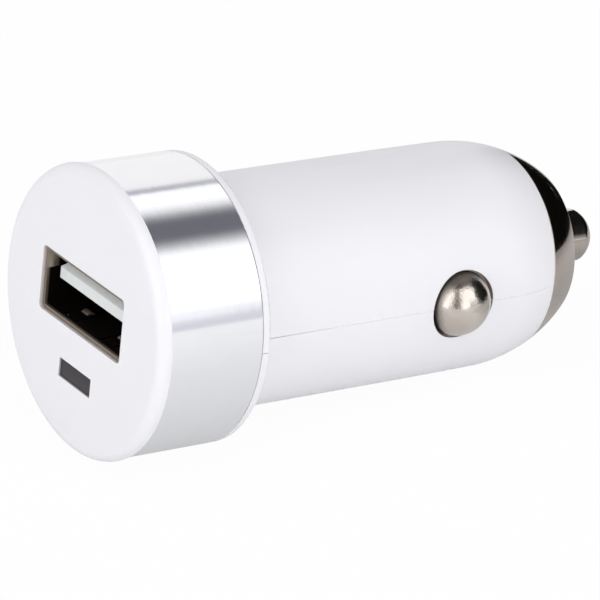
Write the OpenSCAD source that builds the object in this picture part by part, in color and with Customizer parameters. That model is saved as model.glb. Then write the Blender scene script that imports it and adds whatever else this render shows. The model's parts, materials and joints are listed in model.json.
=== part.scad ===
// Car charger plug with one socket, lying on a table as it comes to rest.
// Millimetres. Each piece is drawn along the plug's own axis: +X runs from the face to the centre pin,
// +Z points up from the parting plane of the housing, and the two side contacts lie on +Y and -Y.
// The whole plug is then laid down on the flange's edge and the curved tail of the barrel.

/* [Head] */
// How far the front cap stands out over the barrel, on radius
head_rise = 2.65; // [2.5:0.05:3.6]
// Length of the cap's rim in front of the ring
cap_rim = 1.15; // [0.9:0.05:1.6]
// Rounding of the cap's front edge
cap_edge = 1.1; // [0.4:0.05:1.6]
// Thickness of the cap's front plate
face_t = 2; // [1.6:0.1:2.6]
// Wall of the cap's skirt, inside the ring
skirt_wall = 1.2; // [0.9:0.05:1.4]
// Length of the metal ring
ring_len = 9.2; // [8:0.1:12]
// Wall of the metal ring
ring_wall = 0.45; // [0.3:0.05:0.6]
// How far the ring lies under the cap, on radius
ring_step = 0.15; // [0.05:0.05:0.3]
// Gap between the ring and the flange
ring_gap = 0.05; // [0.05:0.05:0.4]
// Length of the drum that carries the back of the ring
drum_len = 3.2; // [2.6:0.1:4]
// Thickness of the flange behind the ring
flange_t = 0.75; // [0.4:0.05:1.2]
// How far the flange lies under the cap, on radius
flange_step = 0.15; // [0.05:0.05:0.3]
// Rounding of the flange's back edge
flange_edge = 0.2; // [0.1:0.05:0.35]

/* [Barrel] */
// Diameter of the barrel
barrel_d = 20.7; // [20.3:0.1:21.2]
// Straight length of the barrel behind the flange, the part that seats in a vehicle's socket
seat_len = 18.6; // [18:0.1:24]
// How much the barrel's drafted part narrows, on radius
draft = 0.06; // [0.02:0.01:0.1]
// Wall of the moulded housing
wall = 1.5; // [1.3:0.05:1.7]
// Length of the curved plastic in front of the metal nose
nose_bend = 5.3; // [4.6:0.1:5.8]
// Radius of the curve from the barrel into the nose
nose_curve = 15.3; // [14.5:0.1:20]
// Length of the metal nose ring
nose_ring_len = 3.95; // [3.6:0.05:4.4]
// Thickness of the nose ring's end wall
nose_end_wall = 1.35; // [1:0.05:1.5]
// Rounding of the nose ring's end
nose_edge = 0.3; // [0.1:0.05:0.5]
// Wall of the tube that the nose ring is pushed on
spigot_wall = 1.3; // [1:0.05:1.5]

/* [Centre pin] */
// Diameter of the centre pin
pin_d = 4.86; // [4.4:0.02:5.4]
// How far the pin's tip stands out of the nose ring
pin_reach = 6.55; // [5.5:0.05:7.5]
// How much larger the radius of the pin's dome is than the pin's own
pin_dome = 0.27; // [0.05:0.01:1]
// Travel of the centre pin
pin_travel = 3; // [2:0.1:3.2]
// Diameter of the pin's collar, inside
pin_collar_d = 7.3; // [6.8:0.05:7.6]
// Thickness of the collars of the pin and the side contacts
collar_t = 1.3; // [1:0.05:1.5]
// Length of the centre pin's spring at rest
pin_spring_len = 5.5; // [5:0.1:6]

/* [Side contacts] */
// Diameter of a side contact
stud_d = 5.9; // [5.4:0.05:6.2]
// How much larger the radius of a side contact's dome is than the contact's own
stud_dome = 0.1; // [0.02:0.01:0.4]
// How far a side contact stands out of the barrel
stud_reach = 1.95; // [1.6:0.05:1.95]
// Distance from the nose ring back to the middle of the side contacts
stud_back = 10.7; // [10.4:0.1:11.5]
// Travel of a side contact
stud_travel = 2; // [1.6:0.1:2.1]
// Diameter of a side contact's collar, inside
stud_collar_d = 7.3; // [6.9:0.05:7.5]
// Depth of the bore that guides a side contact
stud_guide = 2.65; // [2.3:0.05:2.8]
// Wall of the boss around a side contact's bore
stud_boss_wall = 1.2; // [0.8:0.05:1.4]
// Extra radius of the opening around a side contact
stud_lip = 0.2; // [0.1:0.05:0.4]
// Depth of that wider opening
stud_lip_depth = 0.8; // [0.3:0.05:0.9]

/* [Springs] */
// Wire of the three coil springs
wire_d = 0.4; // [0.3:0.02:0.44]
// Outer diameter of the three coil springs
spring_d = 4.7; // [4.2:0.1:5]
// Number of turns
spring_turns = 5; // [4:1:5]
// Travel that a side contact's spring still has when the contact is pressed home
spring_spare = 1.55; // [1.3:0.05:1.8]

/* [Socket] */
// Width of the socket's sheet-metal shield
socket_w = 13.1; // [12.9:0.05:13.3]
// Height of the shield
socket_h = 5.7; // [5.6:0.05:5.8]
// Length of the shield
socket_len = 13.7; // [12.7:0.1:14.4]
// Sheet of the shield
sheet_t = 0.3; // [0.25:0.01:0.34]
// Height of the socket's middle over the parting plane
socket_z = 0.93; // [0.8:0.01:1.1]
// Rounding of the shield's corners
socket_round = 0.45; // [0.4:0.05:0.9]
// How far the shield lies behind the face
socket_recess = 0.3; // [0.1:0.05:0.5]
// Gap between the tongue that carries the contacts and the shield's side walls
tongue_side = 0.7; // [0.6:0.05:0.85]
// Thickness of the tongue
tongue_t = 1.84; // [1.7:0.02:2]
// How far the tongue's tip lies behind the face
tongue_recess = 1.2; // [0.9:0.05:2.2]
// Gap between the tongue and the shield's roof
tongue_roof = 0.64; // [0.5:0.02:0.7]
// Width of a socket contact
contact_w = 1; // [0.8:0.05:1.1]
// Sheet of the socket contacts and of the two strips
strip_t = 0.25; // [0.2:0.01:0.3]

/* [Indicator] */
// Width of the indicator lamp
lamp_w = 5; // [4.6:0.05:5.2]
// Height of the indicator lamp
lamp_h = 1.6; // [1.4:0.05:1.8]
// Length of the indicator lamp
lamp_len = 6; // [5:0.1:6.2]
// Distance of the lamp's middle below the parting plane
lamp_drop = 6; // [5.8:0.05:6.3]
// How far the lamp lies behind the face
lamp_recess = 0.15; // [0.1:0.05:0.7]
// Wire of the lamp's leads
lead_d = 0.5; // [0.4:0.02:0.6]

/* [Board] */
// Thickness of the circuit board
board_t = 1.2; // [1:0.05:1.3]
// Gap between the socket's shield and the first row of parts behind it
socket_to_parts = 1.25; // [1:0.05:1.6]
// Gap between the two rows of parts
row_gap = 0.45; // [0.3:0.05:0.8]
// Length of board behind the last row
board_spare = 1.45; // [1.2:0.05:2]
// Diameter of the input capacitor
input_cap_d = 6.3; // [5:0.1:6.3]
// Height of the input capacitor
input_cap_h = 7.2; // [5:0.1:7.4]
// Diameter of the output capacitor
output_cap_d = 5; // [4:0.1:5]
// Height of the output capacitor
output_cap_h = 7; // [5:0.1:7.4]
// Diameter of the choke
choke_d = 7; // [6:0.1:7]
// Height of the choke
choke_h = 4.2; // [3.4:0.1:4.3]
// Gap between the socket's legs and the choke
choke_gap = 0.65; // [0.4:0.05:1]

/* [Clearances] */
// Glue gap between the ring and the pieces inside it, on radius
glue_gap = 0.05; // [0.02:0.01:0.1]
// Gap between the cap's skirt and the housing's collar, on radius
snap_gap = 0.1; // [0.05:0.01:0.15]
// Height of the snap bead inside the skirt
snap_bead = 0.35; // [0.2:0.05:0.5]
// Running gap of the pin and the side contacts, on radius
slide_gap = 0.08; // [0.04:0.01:0.1]
// Gap between the socket's shield and its window, each side
window_gap = 0.1; // [0.05:0.01:0.15]
// Gap between the indicator lamp and its window, each side
lamp_gap = 0.08; // [0.05:0.01:0.1]
// Gap between the two halves of the housing
parting_gap = 0.06; // [0.02:0.01:0.1]
// Small gap between seated pieces
seat_gap = 0.1; // [0.05:0.01:0.15]

/* [Hidden] */

// Number of facets of round forms and of small round forms
round_fn = 120;
small_fn = 32;
// Spare length of a cutting body past the surface it cuts
over = 1;

// Radii of the barrel
barrel_r = barrel_d / 2;
tail_r = barrel_r - draft;
barrel_in = tail_r - wall;

// Radii across the head, from the outside in
head_r = barrel_r + head_rise;
ring_r = head_r - ring_step;
ring_in = ring_r - ring_wall;
flange_r = head_r - flange_step;
skirt_r = ring_in - glue_gap;
skirt_in = skirt_r - skirt_wall;
collar_r = skirt_in - snap_gap;
neck_in = collar_r - wall;
rim_round = min(cap_edge, cap_rim);

// Sizes of the parts on the board: converter chip, rectifier diode with its feet, fuse and resistors
converter_size = [4.9, 3.9, 1.4];
diode_size = [4.3, 2.6, 2.1];
diode_foot = [0.7, 1.5, 0.25];
fuse_size = [3.2, 1.6, 0.8];
resistor_size = [1.6, 0.8, 0.5];

// Stations of the head and of the straight barrel
x_ring_end = cap_rim + ring_len;
x_flange = x_ring_end + ring_gap;
x_drum = x_flange - drum_len;
x_body = x_flange + flange_t;
x_draft = x_body + seat_len;
x_collar = face_t + 3 * seat_gap;
x_neck_end = x_flange - wall / 2;

// Stations of what the barrel holds: the socket, two rows of parts on the board behind it, and the
// side contacts close behind the board. The nose follows them.
stop_t = 1;
x_shield_end = socket_recess + socket_len;
x_row_1 = x_shield_end + socket_to_parts;
x_row_2 = x_row_1 + max(output_cap_d, converter_size[0]) + row_gap;
x_row_2_end = x_row_2 + max(input_cap_d, diode_size[0] + diode_foot[0]);
x_board_end = x_row_2_end + board_spare;
x_stud = x_board_end + stop_t + 2 * seat_gap + stud_collar_d / 2;
x_nose = x_stud + stud_back;
x_curve = x_nose - nose_bend;
x_nose_end = x_nose + nose_ring_len;
x_tip = x_nose_end + pin_reach;

// Snap bead: its length, and the distance of its front from the collar's front
bead_len = 1;
bead_x = x_drum - 2.2 * bead_len;

// Nose: floor of the nose ring, tube that carries it and sleeve that guides the pin's collar
x_nose_floor = x_nose_end - nose_end_wall;
x_spigot_end = x_nose_floor - seat_gap;
pin_r = pin_d / 2;
pin_collar_r = pin_collar_d / 2;
sleeve_in = pin_collar_r + slide_gap;
sleeve_wall = 1;
core_gap = 0.85;
spigot_r = sleeve_in + sleeve_wall + core_gap + spigot_wall;
web_t = 1.4;

// Centre pin: its dome, its collar and its spring, from the tip inwards
pin_tip_r = pin_r + pin_dome;
pin_dome_h = pin_tip_r - sqrt(pin_tip_r * pin_tip_r - pin_r * pin_r);
x_pin_collar = x_nose_floor - collar_t;
x_terminal = x_pin_collar - pin_spring_len;
x_bulkhead = x_terminal - strip_t;
bulkhead_t = 1.2;
terminal_r = 3;
terminal_lap = 0.8;
pin_stem = 1.2;

// Side contacts: their radii and distances from the axis
stud_r = stud_d / 2;
stud_dome_r = stud_r + stud_dome;
stud_tip = barrel_r + stud_reach;
stud_seat = barrel_r - stud_guide;
stud_collar_t = 0.8;
stud_collar_r = stud_collar_d / 2;
stud_bore_r = stud_r + slide_gap;
stud_boss_r = stud_bore_r + stud_boss_wall;
stud_stem = 0.9;

// Springs of the side contacts, the post between them and the ground strip folded over it
stud_spring_len = spring_turns * wire_d + stud_travel + spring_spare;
saddle_y = stud_seat - seat_gap - stud_collar_t - stud_spring_len;
post_t = 2 * (saddle_y - strip_t);
post_len = 5.2;
post_top = 2.6;
strip_w = 2.4;
strip_aside = 1.2;
strip_y = post_t / 2 + strip_aside + strip_w / 2;
strip_foot = 1.2;
strip_rise = 1.6;
strip_under = 1.2;

// Socket: its window, its inside and its tongue
socket_floor = socket_z - socket_h / 2;
socket_in_w = socket_w - 2 * sheet_t;
socket_in_h = socket_h - 2 * sheet_t;
tongue_w = socket_in_w - 2 * tongue_side;
tongue_top = socket_z + socket_in_h / 2 - tongue_roof;
tongue_z = tongue_top - tongue_t;
insulator_len = 3.2;
insulator_back = 0.45;
x_insulator = x_shield_end - insulator_len - insulator_back;
x_leg = x_insulator + insulator_len + seat_gap / 2;
contact_pitch = [-3.5, -1, 1, 3.5];
leg_w = 0.6;
leg_hole_r = 0.45;
tab_len = 1.8;
tab_out = 0.6;
tab_stations = [x_shield_end - 8.2, x_shield_end - 2.6];

// Sleeves behind the cap's windows
sleeve_len = 1.6;
socket_sleeve = 0.8;
lamp_sleeve = 0.6;

// Board: it lies under the shield, on ledges of the lower housing
board_top = socket_floor;
board_bottom = board_top - board_t;
window_to_board = 0.25;
x_board = face_t + sleeve_len + window_to_board;
board_len = x_board_end - x_board;
board_room = min(neck_in, barrel_in);
board_w = 2 * (sqrt(board_room * board_room - board_bottom * board_bottom) - 1.5 * seat_gap);
ledge_lap = 0.9;
ledge_in = board_w / 2 - ledge_lap;
ledge_h = 1.1;
hold_stations = [x_board + 0.62 * board_len, x_board + 0.9 * board_len];
lead_y = 1.27;
lead_run = 2;
x_lead_bend = lamp_recess + lamp_len + lead_run;
lead_foot = 1.6;

// Middles of the parts on the board: station and distance from the board's middle line
output_cap_at = [x_row_1 + output_cap_d / 2, -3.3];
input_cap_at = [x_row_2 + input_cap_d / 2, -2.7];
converter_at = [x_row_1 + converter_size[0] / 2, 4];
diode_at = [(x_row_2 + x_row_2_end) / 2, 4.2];
choke_at = [x_shield_end + choke_gap + choke_d / 2, 0];
fuse_gap = 1;
fuse_at = [x_board_end - strip_rise - strip_foot - fuse_gap - fuse_size[0] / 2, strip_y];
choke_flange = 0.8;

// Middles of the resistors, and the side of the board that each lies on
resistor_x = x_shield_end + seat_gap + resistor_size[0] / 2;
resistor_spots = [
    [resistor_x, 7, 1],
    [resistor_x, 1.2, 1],
    [resistor_x, -6.9, 1],
    [tab_stations[1], 1.25 - socket_in_w / 2, -1],
    [x_row_2 + resistor_size[0], -4.6, -1]];

// Lying pose: the support line touches the flange's rounded edge and the curve of the tail
edge_mid = [x_body - flange_edge, -(flange_r - flange_edge)];
tail_mid = [x_curve, nose_curve - tail_r];
support = tail_mid - edge_mid;
droop = atan2(support[1], support[0]) - asin((nose_curve - flange_edge) / norm(support));
lift = flange_edge + edge_mid[0] * sin(droop) - edge_mid[1] * cos(droop);
front_x = (rim_round * cos(droop)) - (head_r - rim_round) * sin(droop) - rim_round;
back_x = (x_tip - pin_tip_r) * cos(droop) + pin_tip_r;
shift_x = -(front_x + back_x) / 2;

// Radius of the outside of the housing and nose ring behind the straight barrel
function nose_r(x) = tail_r - nose_curve + sqrt(nose_curve * nose_curve - pow(x - x_curve, 2));

// Place of the wire's middle in a coil spring, for t from 0 to 1: closed turns at both ends
function coil_rise(t, length) = wire_d / 2 + (length - wire_d) * (t - 0.7 * sin(360 * t) / (2 * PI));

module lying() {
    translate([shift_x, 0, lift]) rotate([0, droop, 0]) children();
}

// Revolves a profile around the plug's axis: x of the profile is the radius, y the station
module turned() {
    rotate([0, 90, 0]) rotate_extrude($fn = round_fn) children();
}

// Rectangle of a profile: from the radius in to the radius out, between two stations
module band(r_in, r_out, from, to) {
    translate([r_in, from]) square([r_out - r_in, to - from]);
}

// Box between two corners
module block(low, high) {
    translate(low) cube(high - low);
}

module rounded_rect(w, h, r) {
    square([w - 2 * r, h], center = true);
    square([w, h - 2 * r], center = true);
    for (sx = [-1, 1], sy = [-1, 1])
        translate([sx * (w / 2 - r), sy * (h / 2 - r)]) circle(r, $fn = small_fn);
}

// Bar with rounded corners along the plug's axis, its middle at height z
module bar(from, to, w, h, z, r) {
    translate([from, 0, z]) rotate([90, 0, 90]) linear_extrude(to - from) rounded_rect(w, h, r);
}

// Flat profile in x and z, as thick as w and centred on y
module plate(w, y) {
    translate([0, y + w / 2, 0]) rotate([90, 0, 0]) linear_extrude(w) children();
}

// Turns children that point along +Z so that they point out of the barrel at a side contact
module at_side(side) {
    translate([x_stud, 0, 0]) rotate([-90 * side, 0, 0]) children();
}

// Round wire between two points
module wire(a, b, r) {
    run = b - a;
    translate(a)
        rotate([0, acos(run[2] / norm(run)), atan2(run[1], run[0])])
            cylinder(norm(run), r, r, $fn = small_fn);
}

// Coil spring along +Z from 0 to its length, the wire's ring of points carried along the helix
module coil(length) {
    sides = 6;
    per_turn = 14;
    steps = spring_turns * per_turn;
    coil_r = (spring_d - wire_d) / 2;
    wire_r = wire_d / 2;
    points = [for (i = [0:steps], k = [0:sides - 1])
        let (
            turn = 360 * i / per_turn,
            across = coil_r + wire_r * cos(360 * k / sides),
            rise = coil_rise(i / steps, length) + wire_r * sin(360 * k / sides))
        [across * cos(turn), across * sin(turn), rise]];
    sides_faces = [for (i = [0:steps - 1], k = [0:sides - 1])
        let (a = i * sides + k, b = i * sides + (k + 1) % sides)
        [a, a + sides, b + sides, b]];
    front_face = [for (k = [0:sides - 1]) k];
    back_face = [for (k = [sides - 1:-1:0]) steps * sides + k];
    polyhedron(points, concat([front_face, back_face], sides_faces), convexity = 10);
}

// Outside of the nose behind the straight barrel, smaller by inset, between two stations
module nose_profile(inset, from, to) {
    intersection() {
        translate([tail_r - nose_curve, x_curve]) circle(nose_curve - inset, $fn = 4 * round_fn);
        band(0, barrel_r, from, to);
    }
}

// Snap bead inside the skirt, or with a gap the groove in the collar that takes it
module bead_profile(top, gap) {
    depth = snap_bead + gap;
    polygon([
        [top + over / 10, bead_x - gap],
        [top, bead_x - gap],
        [top - depth, bead_x + bead_len / 3 - gap],
        [top - depth, bead_x + bead_len * 2 / 3 + gap],
        [top, bead_x + bead_len + gap],
        [top + over / 10, bead_x + bead_len + gap]]);
}

// Outside of the closed housing: collar, drum, flange, barrel, nose and the nose ring's tube
module housing_outline() {
    difference() {
        union() {
            band(0, collar_r, x_collar, x_flange);
            band(0, skirt_r, x_drum, x_flange);
        }
        bead_profile(collar_r, snap_gap);
    }
    band(0, flange_r, x_flange, x_body - flange_edge);
    band(0, flange_r - flange_edge, x_flange, x_body);
    translate([flange_r - flange_edge, x_body - flange_edge]) circle(flange_edge, $fn = small_fn);
    band(0, barrel_r, x_flange, x_draft);
    polygon([[0, x_draft], [barrel_r, x_draft], [tail_r, x_curve], [0, x_curve]]);
    nose_profile(0, x_curve, x_nose);
    band(0, spigot_r, x_nose - over, x_spigot_end);
}

// Hollow inside of the housing, and the cored groove in its nose
module housing_hollow() {
    band(0, neck_in, x_collar - over, x_neck_end);
    band(0, barrel_in, x_neck_end - over, x_curve);
    nose_profile(wall, x_curve, x_nose - web_t);
    band(0, sleeve_in, x_nose - web_t - over, x_spigot_end + over);
    band(spigot_r - spigot_wall - core_gap, spigot_r - spigot_wall, x_nose, x_spigot_end + over);
}

// Sleeve that guides the pin's collar, and the wall that backs the terminal
module nose_guides() {
    x_sleeve = x_pin_collar - pin_travel - 2 * seat_gap;
    turned() band(sleeve_in, sleeve_in + sleeve_wall, x_sleeve, x_nose);
    turned() band(terminal_r - terminal_lap, barrel_in + wall / 2, x_bulkhead - bulkhead_t, x_bulkhead);
}

// Boss round the bore of each side contact, kept inside the barrel
module stud_bosses() {
    intersection() {
        for (side = [-1, 1])
            at_side(side) translate([0, 0, stud_seat])
                cylinder(stud_guide, stud_boss_r, stud_boss_r, $fn = round_fn);
        turned() band(0, barrel_r - wall / 2, x_body, x_curve + nose_bend / 2);
    }
}

module stud_bores() {
    for (side = [-1, 1])
        at_side(side) {
            translate([0, 0, stud_seat - over])
                cylinder(stud_guide + 2 * over, stud_bore_r, stud_bore_r, $fn = round_fn);
            translate([0, 0, barrel_r - stud_lip_depth])
                cylinder(2 * over, stud_bore_r + stud_lip, stud_bore_r + stud_lip, $fn = round_fn);
        }
}

// Pegs of the lower half, or with a gap the holes for them in the upper half
module pegs(gap) {
    peg_h = 1.4;
    front_peg = 0.7;
    back_peg = 0.45;
    for (side = [-1, 1]) {
        translate([(x_drum + x_flange) / 2, side * (neck_in + skirt_r) / 2, -1])
            cylinder(1 + peg_h + gap, front_peg + gap, front_peg + gap, $fn = small_fn);
        translate([x_nose - web_t / 2, side * (sleeve_in + sleeve_wall + spigot_r) / 2, -1])
            cylinder(1 + peg_h + gap, back_peg + gap, back_peg + gap, $fn = small_fn);
    }
}

// Whole housing before it is parted in two
module closed_housing() {
    difference() {
        union() {
            difference() {
                turned() housing_outline();
                turned() housing_hollow();
            }
            nose_guides();
            stud_bosses();
        }
        stud_bores();
    }
}

// Half space above (1) or below (-1) the parting plane
module half_space(up) {
    tall = 2 * head_r;
    shift = up * parting_gap / 2 + (up > 0 ? 0 : -tall);
    translate([0, -tall, shift]) cube([x_tip + 2 * head_r, 2 * tall, tall]);
}

// Ribs that hold the board down, on the upper half
module hold_down_ribs() {
    rib_t = 1;
    rib_lap = 0.8;
    rib_h = 2;
    rib_in = board_w / 2 - rib_lap;
    rib_out = board_w / 2 + seat_gap;
    root_z = parting_gap;
    for (x = hold_stations, side = [-1, 1])
        scale([1, side, 1]) {
            block([x - rib_t / 2, rib_in, board_top + seat_gap / 2],
                [x + rib_t / 2, rib_out, root_z + rib_t / 2]);
            block([x - rib_t / 2, rib_in, root_z], [x + rib_t / 2, barrel_in + wall / 2, root_z + rib_h]);
        }
}

// Ledges under the board and stops behind it, on the lower half
module board_ledges() {
    intersection() {
        for (side = [-1, 1])
            scale([1, side, 1]) {
                block([x_board, ledge_in, board_bottom - ledge_h],
                    [x_board_end + stop_t, head_r, board_bottom]);
                block([x_board_end + seat_gap, ledge_in, board_bottom - ledge_h],
                    [x_board_end + seat_gap + stop_t, head_r, board_top]);
            }
        turned() {
            band(0, neck_in + wall / 2, x_collar, x_neck_end);
            band(0, barrel_in + wall / 2, x_neck_end - over / 2, x_curve);
        }
    }
}

// Post between the side contacts, standing on the floor of the lower half
module contact_post() {
    intersection() {
        block([x_stud - post_len / 2, -post_t / 2, -barrel_r], [x_stud + post_len / 2, post_t / 2, post_top]);
        turned() band(0, barrel_in + wall / 2, x_body, x_curve);
    }
}

// Notch in the wall behind the terminal, where the positive strip passes
module strip_notch() {
    block([x_bulkhead - bulkhead_t - over, strip_y - strip_w / 2 - seat_gap, strip_floor() - seat_gap],
        [x_bulkhead + over / 4, strip_y + strip_w / 2 + seat_gap, -terminal_r]);
}

// Underside of the run of the positive strip, below the collars of the side contacts
function strip_floor() = -(stud_collar_r + strip_under + strip_t);

module upper_housing() {
    color([0.94, 0.94, 0.955]) {
        difference() {
            intersection() {
                closed_housing();
                half_space(1);
            }
            pegs(seat_gap);
        }
        hold_down_ribs();
    }
}

module lower_housing() {
    color([0.93, 0.93, 0.945]) {
        difference() {
            intersection() {
                closed_housing();
                half_space(-1);
            }
            strip_notch();
        }
        board_ledges();
        contact_post();
        pegs(0);
    }
}

module face_cap() {
    window_w = socket_w + 2 * window_gap;
    window_h = socket_h + 2 * window_gap;
    lamp_window_w = lamp_w + 2 * lamp_gap;
    lamp_window_h = lamp_h + 2 * lamp_gap;
    color([0.95, 0.95, 0.965])
        difference() {
            union() {
                turned() {
                    band(0, head_r - rim_round, 0, cap_rim);
                    band(0, head_r, rim_round, cap_rim);
                    intersection() {
                        translate([head_r - rim_round, rim_round]) circle(rim_round, $fn = round_fn);
                        band(0, head_r, 0, cap_rim);
                    }
                    band(0, skirt_r, cap_rim / 2, face_t);
                    band(skirt_in, skirt_r, face_t - over / 10, x_drum - seat_gap);
                    bead_profile(skirt_in, 0);
                }
                bar(face_t - over / 10, face_t + sleeve_len, window_w + 2 * socket_sleeve,
                    window_h + 2 * socket_sleeve, socket_z, socket_round + socket_sleeve);
                bar(face_t - over / 10, face_t + sleeve_len, lamp_window_w + 2 * lamp_sleeve,
                    lamp_window_h + 2 * lamp_sleeve, -lamp_drop, lamp_sleeve);
            }
            bar(-over, face_t + sleeve_len + over, window_w, window_h, socket_z, socket_round);
            bar(-over, face_t + sleeve_len + over, lamp_window_w, lamp_window_h, -lamp_drop, lamp_gap);
        }
}

module trim_ring() {
    chamfer = ring_wall / 4;
    color([0.86, 0.86, 0.87])
        turned()
            polygon([
                [ring_in, cap_rim],
                [ring_r - chamfer, cap_rim],
                [ring_r, cap_rim + chamfer],
                [ring_r, x_ring_end - chamfer],
                [ring_r - chamfer, x_ring_end],
                [ring_in, x_ring_end]]);
}

module nose_ring() {
    joint_gap = seat_gap / 2;
    end_r = nose_r(x_nose_end);
    hole_r = pin_r + slide_gap;
    color([0.62, 0.59, 0.56])
        turned()
            difference() {
                nose_profile(0, x_nose + joint_gap, x_nose_end);
                band(0, spigot_r + glue_gap, x_nose - over, x_nose_floor);
                band(0, hole_r, x_nose_floor - over, x_nose_end + over);
                polygon([
                    [end_r - nose_edge, x_nose_end],
                    [end_r + over, x_nose_end - nose_edge - over],
                    [end_r + over, x_nose_end + over],
                    [end_r - nose_edge, x_nose_end + over]]);
                polygon([
                    [0, x_nose_end - nose_edge],
                    [hole_r, x_nose_end - nose_edge],
                    [hole_r + nose_edge, x_nose_end],
                    [hole_r + nose_edge, x_nose_end + over],
                    [0, x_nose_end + over]]);
            }
}

module center_pin() {
    stem_r = spring_d / 2 - wire_d - 2 * seat_gap;
    color([0.66, 0.62, 0.58])
        turned() {
            band(0, pin_r, x_pin_collar, x_tip - pin_dome_h);
            intersection() {
                translate([0, x_tip - pin_tip_r]) circle(pin_tip_r, $fn = round_fn);
                band(0, pin_r, x_tip - pin_dome_h, x_tip);
            }
            band(0, pin_collar_r, x_pin_collar, x_nose_floor - seat_gap / 2);
            band(0, stem_r, x_pin_collar - pin_stem, x_pin_collar + over / 2);
        }
}

module pin_spring() {
    color([0.75, 0.74, 0.72])
        translate([x_terminal, 0, 0]) rotate([0, 90, 0]) coil(pin_spring_len);
}

// Bent strip from the round terminal behind the centre pin's spring to the board's underside
module positive_strip() {
    run_z = strip_floor();
    x_rise = x_board_end - strip_rise;
    color([0.8, 0.72, 0.5]) {
        turned() band(0, terminal_r, x_bulkhead, x_terminal);
        block([x_bulkhead, strip_y - strip_w / 2, run_z], [x_terminal, strip_y + strip_w / 2, -1]);
        plate(strip_w, strip_y)
            polygon([
                [x_terminal, run_z],
                [x_terminal, run_z + strip_t],
                [x_rise + strip_t, run_z + strip_t],
                [x_rise + strip_t, board_bottom],
                [x_rise - strip_foot, board_bottom],
                [x_rise - strip_foot, board_bottom - strip_t],
                [x_rise, board_bottom - strip_t],
                [x_rise, run_z]]);
    }
}

// Domed contact that slides in the bore at one side of the barrel
module side_contact(side) {
    dome_mid = stud_tip - stud_dome_r;
    stem_r = spring_d / 2 - wire_d - 2 * seat_gap;
    collar_face = stud_seat - seat_gap / 2;
    spring_face = stud_seat - seat_gap - stud_collar_t;
    color([0.7, 0.66, 0.62])
        at_side(side) rotate_extrude($fn = round_fn) {
            intersection() {
                translate([0, dome_mid]) circle(stud_dome_r, $fn = round_fn);
                band(0, stud_r, spring_face, stud_tip + over);
            }
            band(0, stud_r, spring_face, dome_mid);
            band(0, stud_collar_r, spring_face, collar_face);
            band(0, stem_r, spring_face - stud_stem, spring_face + stud_collar_t / 2);
        }
}

module side_spring(side) {
    color([0.75, 0.74, 0.72]) at_side(side) translate([0, 0, saddle_y]) coil(stud_spring_len);
}

module left_contact() {
    side_contact(1);
}

module right_contact() {
    side_contact(-1);
}

module left_spring() {
    side_spring(1);
}

module right_spring() {
    side_spring(-1);
}

// Strip folded over the post: both side springs press on it, and its tail lies on the board
module ground_strip() {
    x_front = x_stud - post_len / 2 - seat_gap;
    leg_half = spring_d / 2;
    leg_foot = -(spring_d / 2 + 2 * strip_t);
    top = post_top + strip_t;
    landing = 0.9;
    color([0.8, 0.72, 0.5]) {
        block([x_front, -saddle_y, post_top], [x_stud + leg_half, saddle_y, top]);
        plate(strip_w, 0)
            polygon([
                [x_front + strip_t, post_top],
                [x_front + strip_t, top],
                [x_front - strip_t, top],
                [x_front - strip_t, board_top + strip_t],
                [x_board_end - landing, board_top + strip_t],
                [x_board_end - landing, board_top],
                [x_front, board_top],
                [x_front, post_top]]);
        for (side = [-1, 1])
            scale([1, side, 1])
                block([x_stud - leg_half, post_t / 2, leg_foot], [x_stud + leg_half, saddle_y, top]);
    }
}

module circuit_board() {
    half = board_w / 2;
    corner = 1;
    color([0.1, 0.35, 0.2])
        difference() {
            plate(board_w, 0)
                translate([x_board, board_bottom]) square([board_len, board_t]);
            for (sy = [-1, 1])
                translate([x_board, sy * half, board_bottom - over])
                    rotate([0, 0, 45])
                        translate([-corner / 2, -corner / 2, 0]) cube([corner, corner, board_t + 2 * over]);
            for (y = contact_pitch)
                translate([x_leg + strip_t / 2, y, board_bottom - over])
                    cylinder(board_t + 2 * over, leg_hole_r, leg_hole_r, $fn = small_fn);
            for (x = tab_stations, side = [-1, 1])
                scale([1, side, 1])
                    block([x - tab_len / 2 - seat_gap, socket_in_w / 2 - seat_gap, board_bottom - over],
                        [x + tab_len / 2 + seat_gap, socket_w / 2 + seat_gap, board_top + over]);
        }
}

// Cut-out round a spring finger: three sides of a frame in a wall, its tongue joined at the back
module finger_cut(length, w, slit) {
    difference() {
        translate([0, -w / 2, -over]) cube([length, w, 2 * over]);
        translate([slit, -w / 2 + slit, -2 * over]) cube([length, w - 2 * slit, 4 * over]);
    }
}

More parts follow.
